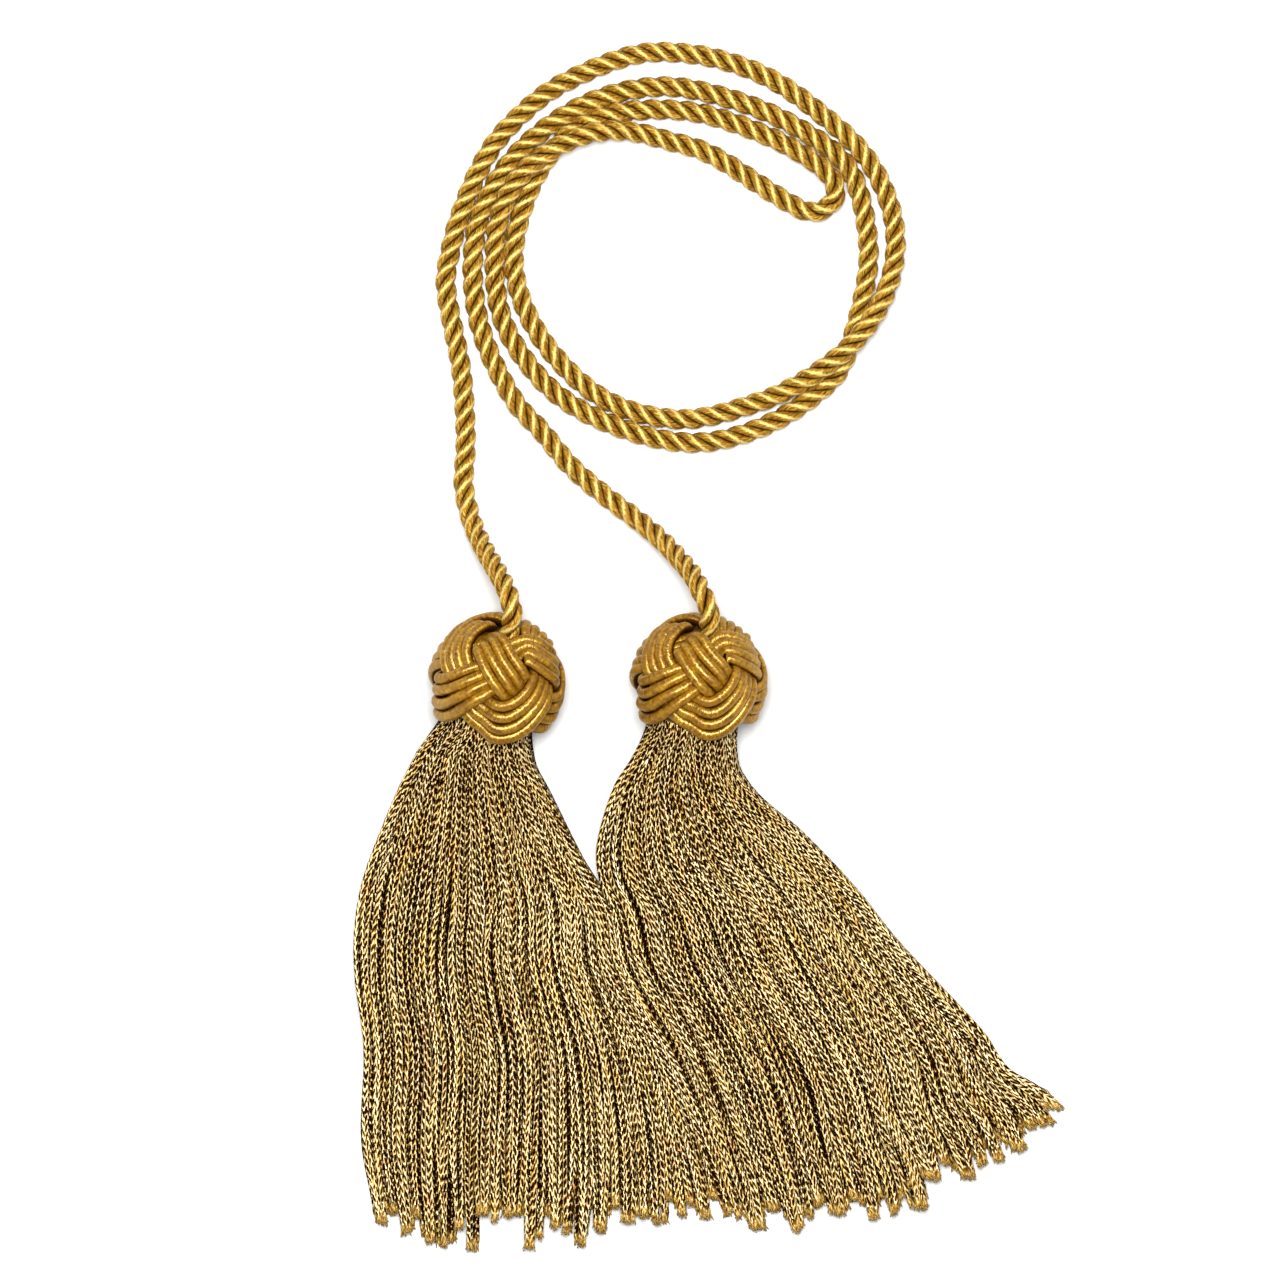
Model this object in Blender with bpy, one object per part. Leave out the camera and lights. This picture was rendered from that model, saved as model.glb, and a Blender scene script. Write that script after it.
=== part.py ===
"""Curtain tieback with two tassels, laid out flat and seen from above.

One length of three-ply twisted cord lies in a loose hank of two loops and a
folded bight, and ends in two tassels. The head of each tassel is a round
knot of three leads and five bights, worked with four passes of satin gimp
over a ball. The skirt hangs out of the head's lower opening: locks of yarn
whose roots are bound in a neck, and which lie spread on the surface.

Frame: metres, +Z up, the surface at Z = 0, the skirts towards -Y. The origin
is below the middle of the tassels' box. Tables are in millimetres from a
point TABLE_ORIGIN away from it.
"""

import math
import random

import bmesh
import bpy
import numpy as np
from mathutils import Matrix, Vector

MM = 0.001
GAP = 0.3  # between touching pieces
TABLE_ORIGIN = Vector((0.56, 0.35, 0))  # of the tables, where the frame's origin lies

# Cord
CORD_DIAMETER = 6.0
CORD_GROOVE_RADIUS = 1.95  # at the grooves between the plies
CORD_PLIES = 3
CORD_PITCH = 16.5  # length of one full turn of a ply
CORD_STEPS = 2 * CORD_PLIES  # rings in one turn, which are also the sides of the tube

# Head: a knot over a ball
GIMP_WIDTH = 3.1
GIMP_PASSES = 4
KNOT_LEADS = 3
KNOT_BIGHTS = 5
KNOT_RADIUS = 17.3  # middle of the gimp, halfway between over and under
KNOT_LIFT = 1.8  # rise and fall of the gimp at its crossings
UPPER_BIGHTS = math.radians(31.0)  # their middle pass, from the pole
LOWER_BIGHTS = math.radians(106.0)
UPPER_SPACING = math.radians(8.4)  # between neighbouring passes, seen from the middle
LOWER_SPACING = math.radians(10.5)
BIGHT_SWEEP = 0.03  # how much further round the pole each bight reaches
LOWER_STRETCH = 1.2  # of the half below the middle, along the pole
BALL_RADIUS = 16.5
POLE_PLUG_RADIUS = 18.3  # where the cord goes in
POLE_PLUG_ANGLE = math.radians(13.0)
HEAD_HEIGHT = 20.4  # of its middle above the surface
NECK_PLANE = 12.3  # from the head's middle to the flat over the lower opening
HEAD_FACES = 1700
PATH_STEPS = 96  # points along the gimp for each bight

# Skirt
NECK_HALF_WIDTH = 12.9
NECK_HALF_HEIGHT = 11.6
NECK_THICKNESS = 4.2
NECK_SIDES = 20
ROOT_SPREAD = 0.92  # share of the neck's width over which the roots stand
ROOT_RISE = 0.82  # share of its height
ROOT_HEIGHT = 3.2  # of one lock where it leaves the neck
ROOT_FILL = 0.8  # share of its pitch that a lock takes there
LEAST_CHORD = 0.35  # of the neck's height, at its sides
SIDE_THICKNESS = 0.38  # of the skirt, at its sides, as a share of its middle
LOCK_FILL = 0.80  # share of its pitch that a lock takes
LAYER_FILL = 0.84  # share of its layer's height
HEM_UNEVEN = 2.2
TUFT_LENGTH = 6.5  # of the odd long lock beyond the hem
TUFT_SHARE = 0.13
SIDE_CLEARANCE = 1.0  # between a skirt and the line where it meets the other

# Height of the spread skirt at stations along its length, 0 at the neck and 1 at the hem.
#           along, height
SKIRT_STATIONS = (
    (0.07, 22.5),
    (0.18, 17.0),
    (0.34, 12.8),
    (0.53, 10.2),
    (0.76, 8.2),
    (1.00, 6.6),
)
# Layers from the surface up, with the bare margin at each side as a share of the width.
#          locks, margin
SKIRT_LAYERS = (
    (30, 0.00),
    (27, 0.05),
    (23, 0.12),
)

# Heads: middle, the pole where the cord leaves, and the knot's turn about it in degrees.
#        side,    x,     y,    pole,               turn
HEADS = (
    ("left", -64.5, 75.3, (0.204, 0.883, 0.423), -32.0),
    ("right", -3.6, 75.3, (0.110, 0.899, 0.423), -31.0),
)

# The line along which the two skirts meet on the surface.
SKIRTS_MEET = (
    (-29.4, 6.0), (-27.0, -8.4), (-20.1, -21.9), (-12.3, -35.4),
    (-6.0, -49.8), (0.0, -63.9), (7.3, -84.5),
)

# Outlines of the skirts as they lie: each side from the neck to the hem, then the hem.
LEFT_SKIRT = {
    "left": (
        (-82.2, 63.6), (-91.5, 45.0), (-98.7, 29.4), (-104.7, 14.1), (-106.8, -0.3),
        (-106.8, -14.4), (-104.1, -33.9), (-103.8, -60.3), (-100.2, -85.2),
    ),
    "right": ((-56.4, 57.3), (-48.9, 42.9), (-38.7, 22.2)) + SKIRTS_MEET,
    "hem": (
        (-100.2, -85.2), (-82.2, -90.2), (-64.2, -88.2), (-48.0, -90.2), (-33.0, -87.9),
        (-18.0, -85.8), (-6.0, -84.0), (7.3, -84.5),
    ),
    "meets": "right",
}
RIGHT_SKIRT = {
    "left": ((-18.6, 63.6), (-29.1, 44.1), (-33.9, 24.6), (-33.0, 14.7)) + SKIRTS_MEET,
    "right": (
        (6.0, 57.6), (14.7, 42.3), (30.3, 29.4), (45.0, 12.9), (56.7, -2.7),
        (71.4, -19.2), (83.1, -32.1), (88.8, -40.8), (100.5, -47.7), (107.4, -52.5),
    ),
    "hem": (
        (7.3, -84.5), (16.8, -88.3), (27.0, -88.2), (45.0, -85.5), (58.5, -84.0),
        (66.6, -78.9), (69.0, -71.4), (82.5, -70.8), (96.0, -63.3), (107.4, -52.5),
    ),
    "meets": "left",
}

# The cord's middle line, from the left head round the hank and back to the right head.
ROUTE = (
    # out of the left head and down to the surface
    (-59.6, 91.6, 28.3), (-59.0, 93.8, 29.4), (-59.2, 97.6, 30.2), (-60.6, 102.2, 28.2),
    (-63.0, 107.0, 23.2), (-65.9, 111.8, 16.8), (-68.9, 117.2, 10.4), (-72.0, 124.8, 5.2),
    (-74.0, 134.5, 3.1),
    # up the outside on the left, over the top and down the outside on the right
    (-73.4, 146.0, 3.0), (-73.8, 166.2, 3.0), (-79.5, 195.0, 3.0), (-78.9, 203.5, 3.0),
    (-74.7, 217.5, 3.0), (-65.2, 236.2, 3.0), (-51.0, 250.6, 3.0), (-38.7, 257.7, 3.0),
    (-20.7, 263.0, 3.0), (-2.4, 262.5, 3.0), (16.2, 256.5, 3.0), (33.6, 245.7, 3.0),
    (47.0, 232.7, 3.0), (54.3, 217.8, 3.1), (55.8, 204.9, 4.0),
    # over the other half at the lower right
    (53.7, 194.4, 6.0), (49.2, 184.8, 8.5), (42.6, 176.4, 9.6), (34.8, 169.8, 8.9),
    (25.2, 163.8, 5.9), (14.1, 159.0, 3.5),
    # round the inside of the lower loop
    (-9.0, 154.0, 3.0), (-31.5, 160.8, 3.0), (-50.7, 180.0, 3.0), (-58.3, 201.0, 3.0),
    (-54.3, 222.6, 3.0), (-44.4, 237.9, 3.0), (-36.0, 243.3, 3.0), (-25.8, 246.9, 3.0),
    (-4.8, 246.3, 3.0), (16.5, 239.5, 3.3),
    # the folded bight, half on the neighbouring run
    (25.5, 234.9, 4.8), (32.4, 230.4, 6.4), (36.3, 226.5, 7.0), (37.8, 222.6, 6.4),
    (36.6, 219.0, 5.4), (33.3, 216.6, 4.5), (29.4, 216.4, 3.8), (25.5, 218.1, 3.2),
    (19.8, 221.4, 3.0), (-1.2, 234.3, 3.0), (-12.3, 237.6, 3.2),
    # over the first half at the upper left
    (-23.7, 239.8, 5.2), (-35.1, 239.7, 8.4), (-46.2, 235.2, 9.6), (-56.4, 227.4, 8.7),
    (-62.4, 217.2, 6.6), (-64.6, 205.8, 3.7),
    # round the outside of the lower loop and up the right
    (-61.8, 183.9, 3.0), (-46.2, 162.9, 3.0), (-23.7, 150.3, 3.0), (-2.4, 147.0, 3.0),
    (18.0, 152.7, 3.0), (33.9, 163.2, 3.0), (39.0, 168.9, 3.0), (44.7, 185.1, 3.0),
    (47.7, 203.4, 3.0), (44.7, 222.6, 3.0), (39.9, 231.8, 3.0), (24.0, 243.0, 3.0),
    (6.0, 251.1, 3.0), (-14.7, 254.9, 3.0), (-37.8, 249.9, 3.0), (-57.4, 234.3, 3.0),
    (-68.2, 217.3, 3.0), (-71.2, 203.0, 3.0), (-68.7, 182.1, 3.0), (-57.9, 159.6, 3.0),
    # down to the right head
    (-50.7, 150.6, 3.0), (-41.7, 139.8, 3.0), (-31.2, 130.8, 3.1), (-21.8, 123.8, 5.8),
    (-14.8, 117.8, 10.8), (-9.4, 112.0, 17.2), (-5.2, 106.8, 24.2), (-2.0, 102.0, 29.0),
    (0.0, 97.8, 30.6), (0.5, 94.1, 29.5), (0.1, 91.9, 28.3),
)

CORD_COLOUR = (0.48, 0.25, 0.035, 1.0)
HEAD_COLOUR = (0.45, 0.23, 0.030, 1.0)
SKIRT_COLOUR = (0.40, 0.27, 0.085, 1.0)


def clear_scene():
    for thing in list(bpy.data.objects):
        bpy.data.objects.remove(thing, do_unlink=True)


def satin(name, colour, roughness):
    """A metallic-looking rayon: no metal in it, but a close, bright gloss."""
    material = bpy.data.materials.new(name)
    material.use_nodes = True
    shader = material.node_tree.nodes["Principled BSDF"]
    shader.inputs["Base Color"].default_value = colour
    shader.inputs["Roughness"].default_value = roughness
    shader.inputs["Metallic"].default_value = 0.0
    material.diffuse_color = colour
    return material


def add_object(name, points, faces, material):
    """An object from points in millimetres, its faces turned outwards."""
    mesh = bpy.data.meshes.new(name)
    mesh.from_pydata([tuple(c * MM for c in p) for p in points], [], faces)
    return add_mesh_object(name, mesh, material)


def add_mesh_object(name, mesh, material):
    shape = bmesh.new()
    shape.from_mesh(mesh)
    bmesh.ops.translate(shape, vec=-TABLE_ORIGIN * MM, verts=shape.verts)
    bmesh.ops.recalc_face_normals(shape, faces=shape.faces)
    shape.to_mesh(mesh)
    shape.free()
    mesh.materials.clear()
    mesh.materials.append(material)
    mesh.shade_smooth()
    mesh.set_sharp_from_angle(angle=math.radians(50))
    made = bpy.data.objects.new(name, mesh)
    bpy.context.collection.objects.link(made)
    return made


def smooth_curve(points, steps):
    """Points on a centripetal Catmull-Rom curve through the given ones, steps to a span."""
    given = [Vector(p) for p in points]
    ends = [2 * given[0] - given[1]] + given + [2 * given[-1] - given[-2]]
    curve = []
    for p0, p1, p2, p3 in zip(ends, ends[1:], ends[2:], ends[3:]):
        t1 = math.sqrt((p1 - p0).length)
        t2 = t1 + math.sqrt((p2 - p1).length)
        t3 = t2 + math.sqrt((p3 - p2).length)
        for step in range(steps):
            t = t1 + (t2 - t1) * step / steps
            a1 = p0 + (p1 - p0) * (t / t1)
            a2 = p1 + (p2 - p1) * ((t - t1) / (t2 - t1))
            a3 = p2 + (p3 - p2) * ((t - t2) / (t3 - t2))
            b1 = a1 + (a2 - a1) * (t / t2)
            b2 = a2 + (a3 - a2) * ((t - t1) / (t3 - t1))
            curve.append(b1 + (b2 - b1) * ((t - t1) / (t2 - t1)))
    curve.append(given[-1])
    return curve


def arc_lengths(curve):
    lengths = [0.0]
    for a, b in zip(curve, curve[1:]):
        lengths.append(lengths[-1] + (b - a).length)
    return lengths


def even_points(curve, spaces):
    """spaces + 1 points at even distances along the curve."""
    lengths = arc_lengths(curve)
    found = []
    at = 0
    for k in range(spaces + 1):
        wanted = lengths[-1] * k / spaces
        while at < len(curve) - 2 and lengths[at + 1] < wanted:
            at += 1
        share = (wanted - lengths[at]) / (lengths[at + 1] - lengths[at])
        found.append(curve[at].lerp(curve[at + 1], share))
    return found


def cord_rings():
    """The middle of each ring of the cord, a sixth of a turn of the twist apart."""
    curve = smooth_curve(ROUTE, 24)
    radius = CORD_DIAMETER / 2
    for point in curve:
        point.z = max(point.z, radius)
    spaces = round(arc_lengths(curve)[-1] / (CORD_PITCH / CORD_STEPS))
    return even_points(curve, spaces)


def make_cord(material):
    """A tube whose ridges, one to a ply, climb one side of the section at each ring."""
    middles = cord_rings()
    sides = CORD_STEPS
    points = []
    faces = []
    for ring, middle in enumerate(middles):
        before = middles[max(ring - 1, 0)]
        after = middles[min(ring + 1, len(middles) - 1)]
        along = (after - before).normalized()
        across = along.cross(Vector((0, 0, 1))).normalized()
        up = across.cross(along)
        for side in range(sides):
            angle = 2 * math.pi * side / sides
            ridge = (side + ring) % 2 == 0
            radius = CORD_DIAMETER / 2 if ridge else CORD_GROOVE_RADIUS
            points.append(middle + (across * math.cos(angle) + up * math.sin(angle)) * radius)
    for ring in range(len(middles) - 1):
        for side in range(sides):
            a = ring * sides + side
            b = ring * sides + (side + 1) % sides
            c = b + sides
            d = a + sides
            # Both halves share the diagonal that follows the ridge or the groove.
            faces += [(a, b, d), (b, c, d)]
    last = (len(middles) - 1) * sides
    faces.append(tuple(range(sides)))
    faces.append(tuple(range(last + sides - 1, last - 1, -1)))
    return add_object("cord", points, faces, material)


def head_axes(pole):
    """The pole, the direction at right angles to it that faces up most, and the level one."""
    axis = Vector(pole).normalized()
    level = Vector((axis.y, -axis.x, 0)).normalized()
    return axis, level.cross(axis), level


def gimp_path(pole, turn):
    """Points of all passes of the knot about its middle, as rows of an array, in millimetres."""
    axis, face, level = (np.array(v) for v in head_axes(pole))
    u = np.arange(PATH_STEPS * KNOT_BIGHTS) * 2 * math.pi / PATH_STEPS
    down = (1 - np.cos(u)) / 2  # 0 at an upper bight, 1 at a lower one
    polar = UPPER_BIGHTS + (LOWER_BIGHTS - UPPER_BIGHTS) * down
    azimuth = u * KNOT_LEADS / KNOT_BIGHTS + BIGHT_SWEEP * np.sin(2 * u) + math.radians(turn)
    middle = (
        np.cos(polar)[:, None] * axis
        + (np.sin(polar) * np.cos(azimuth))[:, None] * face
        + (np.sin(polar) * np.sin(azimuth))[:, None] * level
    )
    forward = np.roll(middle, -1, axis=0) - np.roll(middle, 1, axis=0)
    sideways = np.cross(middle, forward)
    sideways /= np.linalg.norm(sideways, axis=1)[:, None]
    spacing = UPPER_SPACING + (LOWER_SPACING - UPPER_SPACING) * down
    radius = KNOT_RADIUS + KNOT_LIFT * np.tanh(2 * np.sin(2 * u)) / math.tanh(2)
    passes = []
    for k in range(GIMP_PASSES):
        aside = (k - (GIMP_PASSES - 1) / 2) * spacing[:, None]
        place = (middle * np.cos(aside) + sideways * np.sin(aside)) * radius[:, None]
        below = np.minimum(place @ axis, 0)
        passes.append(place + (LOWER_STRETCH - 1) * below[:, None] * axis)
    return np.concatenate(passes)


def head_radii(directions, pole, turn):
    """Distance from the head's middle to its surface along each direction."""
    path = gimp_path(pole, turn)
    distance = np.linalg.norm(path, axis=1)
    toward = path / distance[:, None]
    gimp = GIMP_WIDTH / 2
    axis = np.array(Vector(pole).normalized())
    radii = np.full(len(directions), BALL_RADIUS)
    for first in range(0, len(directions), 1024):
        part = slice(first, first + 1024)
        cosine = directions[part] @ toward.T
        inside = gimp**2 - distance**2 * (1 - cosine**2)
        reach = distance * cosine + np.sqrt(np.maximum(inside, 0))
        reach[(inside < 0) | (cosine < 0)] = 0
        radii[part] = np.maximum(radii[part], reach.max(axis=1))
    to_pole = directions @ axis
    at_pole = to_pole > math.cos(POLE_PLUG_ANGLE)
    radii[at_pole] = np.maximum(radii[at_pole], POLE_PLUG_RADIUS)
    return radii


def cut_flat(shape, point, outward):
    """Takes off what lies beyond the plane and closes the cut with a flat face."""
    everything = shape.verts[:] + shape.edges[:] + shape.faces[:]
    cut = bmesh.ops.bisect_plane(
        shape, geom=everything, dist=1e-7, plane_co=point, plane_no=outward, clear_outer=True
    )
    rim = [e for e in cut["geom_cut"] if isinstance(e, bmesh.types.BMEdge)]
    bmesh.ops.contextual_create(shape, geom=rim)


def make_head(side, x, y, pole, turn, material):
    """The knotted ball, flat where it rests and where its skirt comes out."""
    shape = bmesh.new()
    bmesh.ops.create_icosphere(shape, subdivisions=6, radius=1.0)
    directions = np.array([v.co.normalized() for v in shape.verts])
    radii = head_radii(directions, pole, turn)
    middle = Vector((x, y, HEAD_HEIGHT))
    for vertex, radius in zip(shape.verts, radii):
        vertex.co = (middle + vertex.co.normalized() * float(radius)) * MM
    fine = bpy.data.meshes.new("fine_head")
    shape.to_mesh(fine)
    shape.free()

    fine_object = bpy.data.objects.new("fine_head", fine)
    bpy.context.collection.objects.link(fine_object)
    thinned = fine_object.modifiers.new("thin", "DECIMATE")
    thinned.ratio = HEAD_FACES / len(fine.polygons)
    graph = bpy.context.evaluated_depsgraph_get()
    mesh = bpy.data.meshes.new_from_object(fine_object.evaluated_get(graph))
    mesh.name = "head_" + side
    bpy.data.objects.remove(fine_object, do_unlink=True)

    shape = bmesh.new()
    shape.from_mesh(mesh)
    axis = Vector(pole).normalized()
    cut_flat(shape, Vector((0, 0, 0)), Vector((0, 0, -1)))
    cut_flat(shape, (middle - axis * NECK_PLANE) * MM, -axis)
    bmesh.ops.triangulate(shape, faces=shape.faces[:])
    shape.to_mesh(mesh)
    shape.free()
    return add_mesh_object("head_" + side, mesh, material)


def line_at(points, share):
    """The point of a smooth line at this share of its length."""
    curve = smooth_curve([(x, y, 0) for x, y in points], 8)
    lengths = arc_lengths(curve)
    wanted = share * lengths[-1]
    for k in range(len(curve) - 1):
        if lengths[k + 1] >= wanted:
            part = (wanted - lengths[k]) / (lengths[k + 1] - lengths[k])
            return curve[k].lerp(curve[k + 1], part)
    return curve[-1]


def skirt_point(outline, along, across):
    """Where a lock lies: along is 0 at the neck and 1 at the hem, across is 0 at the left side."""
    left = line_at(outline["left"], along)
    right = line_at(outline["right"], along)
    width = (right - left).length
    inset = SIDE_CLEARANCE / width * along
    low = inset if outline["meets"] == "left" else 0
    high = 1 - inset if outline["meets"] == "right" else 1
    place = low + (high - low) * across
    point = left.lerp(right, place)
    straight_hem = Vector((*outline["hem"][0], 0)).lerp(Vector((*outline["hem"][-1], 0)), place)
    return point + (line_at(outline["hem"], place) - straight_hem) * along**3


def neck_point(middle, axes, across, height, beyond):
    """A point in the neck: across from 0 to 1, height from -1 to 1 of the chord there."""
    axis, face, level = axes
    aside = 2 * across - 1
    chord = math.sqrt(max(1 - aside**2, LEAST_CHORD**2))
    centre = middle - axis * (NECK_PLANE + GAP + beyond)
    return centre + level * (aside * NECK_HALF_WIDTH) + face * (height * chord * NECK_HALF_HEIGHT)


def add_lock(points, faces, stations):
    """A strand of three sides with its base down. A station is a point, side, width and height."""
    first = len(points)
    for base, side, width, height in stations:
        points += [
            base - side * (width / 2),
            base + side * (width / 2),
            base + Vector((0, 0, height)),
        ]
    for k in range(len(stations) - 1):
        ring = first + 3 * k
        for a, b in ((0, 1), (1, 2), (2, 0)):
            faces.append((ring + a, ring + b, ring + 3 + b, ring + 3 + a))
    end = first + 3 * (len(stations) - 1)
    faces += [(first + 2, first + 1, first), (end, end + 1, end + 2)]


def lock_stations(outline, middle, axes, layer, across, pitch, hem_change):
    """The sections of one lock from inside the neck to its tip."""
    layers = len(SKIRT_LAYERS)
    aside = 2 * across - 1
    dome = SIDE_THICKNESS + (1 - SIDE_THICKNESS) * math.sqrt(1 - aside**2)
    root_across = (aside * ROOT_SPREAD + 1) / 2
    root_rise = ((layer + 0.5) / layers * 2 - 1) * ROOT_RISE
    root = neck_point(middle, axes, root_across, root_rise, NECK_THICKNESS / 2)
    places = [root]
    for along, thickness in SKIRT_STATIONS:
        place = skirt_point(outline, along, across)
        place.z = thickness * dome * layer / layers
        places.append(place)
    tip_way = (places[-1] - places[-2]).normalized()
    tip_way.z = 0
    places[-1] += tip_way * hem_change

    stations = []
    for k, place in enumerate(places):
        ahead = places[min(k + 1, len(places) - 1)] - places[max(k - 1, 0)]
        side = Vector((-ahead.y, ahead.x, 0)).normalized()
        if k == 0:
            width = 2 * NECK_HALF_WIDTH * pitch * ROOT_FILL
            height = ROOT_HEIGHT
            place = place - Vector((0, 0, height / 2))
        else:
            along, thickness = SKIRT_STATIONS[k - 1]
            left = skirt_point(outline, along, across - pitch / 2)
            right = skirt_point(outline, along, across + pitch / 2)
            width = abs((right - left).dot(side)) * LOCK_FILL
            height = thickness * dome / layers * LAYER_FILL
        stations.append((place, -side, width, height))
    return stations


def make_skirt(side, outline, x, y, pole, material, seed):
    """Layers of locks fused to the neck that binds their roots."""
    uneven = random.Random(seed)
    middle = Vector((x, y, HEAD_HEIGHT))
    axes = head_axes(pole)
    points = []
    faces = []
    for layer, (count, margin) in enumerate(SKIRT_LAYERS):
        pitch = (1 - 2 * margin) / count
        for k in range(count):
            across = margin + (k + 0.5) * pitch
            change = uneven.uniform(-HEM_UNEVEN, HEM_UNEVEN)
            if uneven.random() < TUFT_SHARE:
                change = TUFT_LENGTH * uneven.uniform(0.6, 1.0)
            stations = lock_stations(outline, middle, axes, layer, across, pitch, change)
            add_lock(points, faces, stations)
    skirt = add_object("skirt_" + side, points, faces, material)
    join = skirt.modifiers.new("neck", "BOOLEAN")
    join.operation = "UNION"
    join.solver = "EXACT"
    join.use_self = True
    join.object = make_neck(side, middle, axes)
    return skirt


def make_neck(side, middle, axes):
    """The bound roots: a short oval drum behind the head's lower opening. It is a helper."""
    axis, face, level = axes
    shape = bmesh.new()
    bmesh.ops.create_cone(
        shape,
        cap_ends=True,
        segments=NECK_SIDES,
        radius1=1.0,
        radius2=1.0,
        depth=NECK_THICKNESS * MM,
    )
    stretch = Matrix.Diagonal((NECK_HALF_WIDTH * MM, NECK_HALF_HEIGHT * MM, 1)).to_4x4()
    turned = Matrix((level, face, -axis)).transposed().to_4x4()
    behind = NECK_PLANE + GAP + NECK_THICKNESS / 2
    centre = (middle - axis * behind - TABLE_ORIGIN) * MM
    bmesh.ops.transform(
        shape, matrix=Matrix.Translation(centre) @ turned @ stretch, verts=shape.verts
    )
    bmesh.ops.recalc_face_normals(shape, faces=shape.faces)
    mesh = bpy.data.meshes.new("neck_" + side)
    shape.to_mesh(mesh)
    shape.free()
    neck = bpy.data.objects.new("neck_" + side, mesh)
    neck.hide_render = True
    neck.display_type = "WIRE"
    bpy.context.collection.objects.link(neck)
    return neck


def main():
    clear_scene()
    cord_satin = satin("cord_satin", CORD_COLOUR, 0.42)
    gimp_satin = satin("gimp_satin", HEAD_COLOUR, 0.40)
    yarn = satin("skirt_yarn", SKIRT_COLOUR, 0.55)
    make_cord(cord_satin)
    outlines = {"left": LEFT_SKIRT, "right": RIGHT_SKIRT}
    for seed, (side, x, y, pole, turn) in enumerate(HEADS):
        make_head(side, x, y, pole, turn, gimp_satin)
        make_skirt(side, outlines[side], x, y, pole, yarn, seed)


main()
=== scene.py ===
"""Looks of a curtain tieback: satin cord, knotted gimp heads and skirts of chainette yarn.

Sizes are in millimetres unless noted, and places are on the tables' own origin, up to
build_piece(), which turns them into metres in the frame.
"""

import math

import bpy
import numpy as np
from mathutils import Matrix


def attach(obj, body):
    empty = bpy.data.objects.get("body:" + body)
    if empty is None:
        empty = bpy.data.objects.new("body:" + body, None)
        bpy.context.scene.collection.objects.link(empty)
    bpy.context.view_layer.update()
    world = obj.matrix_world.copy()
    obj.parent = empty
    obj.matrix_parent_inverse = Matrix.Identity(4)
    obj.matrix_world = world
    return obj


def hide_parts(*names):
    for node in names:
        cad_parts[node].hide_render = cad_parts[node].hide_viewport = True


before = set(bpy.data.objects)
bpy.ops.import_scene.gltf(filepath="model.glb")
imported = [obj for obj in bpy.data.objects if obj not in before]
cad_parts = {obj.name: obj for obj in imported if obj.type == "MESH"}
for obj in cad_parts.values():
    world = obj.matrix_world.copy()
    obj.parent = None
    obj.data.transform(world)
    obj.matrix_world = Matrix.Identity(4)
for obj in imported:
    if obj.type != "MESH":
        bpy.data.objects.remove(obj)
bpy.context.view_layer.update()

MM = 0.001
TABLE_ORIGIN = np.array((0.56, 0.35, 0.0))  # where the frame's origin lies in the tables
UP = np.array((0.0, 0.0, 1.0))
LEAST_HEIGHT = 0.00002  # of any point above the surface, in metres

# Camera: straight above the middle of the picture
PICTURE_MIDDLE = (-22.65, 89.25)
PICTURE_WIDTH = 380.7  # of what it shows at SHOWN_HEIGHT
SHOWN_HEIGHT = 8.0
CAMERA_HEIGHT = 2400.0
SENSOR_WIDTH = 36.0
FARTHEST = 20.0  # that it sees, in metres

# Stage, in metres
FLOOR_HALF = 3.0
FLOOR_COLOUR = (216, 216, 216)
SKY_STRENGTH = 0.36
LIGHT_PLACE = (-0.04, 0.24, 1.60)
LIGHT_AIM = (-0.02, 0.08, 0.0)
LIGHT_SIZE = 0.50
LIGHT_POWER = 46.0
LIGHT_COLOUR = (1.0, 0.99, 0.97)

# Cord
CORD_DIAMETER = 6.0
CORD_PLIES = 3
CORD_PITCH = 16.5  # length of one full turn of a ply
PLY_RADIUS = 1.55
PLY_OFFSET = 1.66  # of a ply's middle from the cord's
PLY_SIDES = 12
PLY_STEP = 1.15  # between rings
PLY_SWELL = 0.025  # share by which a ply's thickness varies
PLY_APART = 311.0  # between the lengths at which successive plies' textures start
CORD_INSIDE = 6.5  # how far its ends run on into the heads
END_POINTS = 6  # in each of those ends
CORD_SEED = 11

# Head: a knot of gimp over a ball
GIMP_RADIUS = 1.62
GIMP_SIDES = 12
GIMP_PASSES = 4
GIMP_FATTER = 0.20  # share that is added to the radius low on the head
FATTER_ABOVE = 0.3  # of the knot's radius: how far up from its middle that begins
GIMP_SWELL = 0.025  # share by which the radius varies
GIMP_ASTRAY = 0.16  # how far a strand strays sideways
GIMP_UNEVEN = 0.10  # and outwards
PASS_APART = 911.0  # between the lengths at which successive passes' textures start
KNOT_LEADS = 3
KNOT_BIGHTS = 5
KNOT_RADIUS = 17.3  # middle of the gimp, halfway between over and under
KNOT_LIFT = 1.8  # rise and fall of the gimp at its crossings
UPPER_BIGHTS = math.radians(31.0)  # their middle pass, from the pole
UPPER_SPACING = math.radians(8.4)  # between passes at the upper bights
LOWER_SPACING = math.radians(10.5)
BIGHT_SWEEP = -0.065  # how much further round the pole each bight reaches
LOWER_ROUNDING = 0.20  # of the lower bights
LOWER_STRETCH = 1.2  # of the half below the middle, along the pole
PATH_STEPS = 96  # points along the gimp for each bight
BALL_RADIUS = 15.9
BALL_RINGS = 28
BALL_SIDES = 40
BALL_HOLE = 0.06  # angle from its poles to its first and last rings
HEAD_HEIGHT = 20.4  # of the head's middle above the surface
HEAD_SEEDS = {"left": 21, "right": 22}

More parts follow.
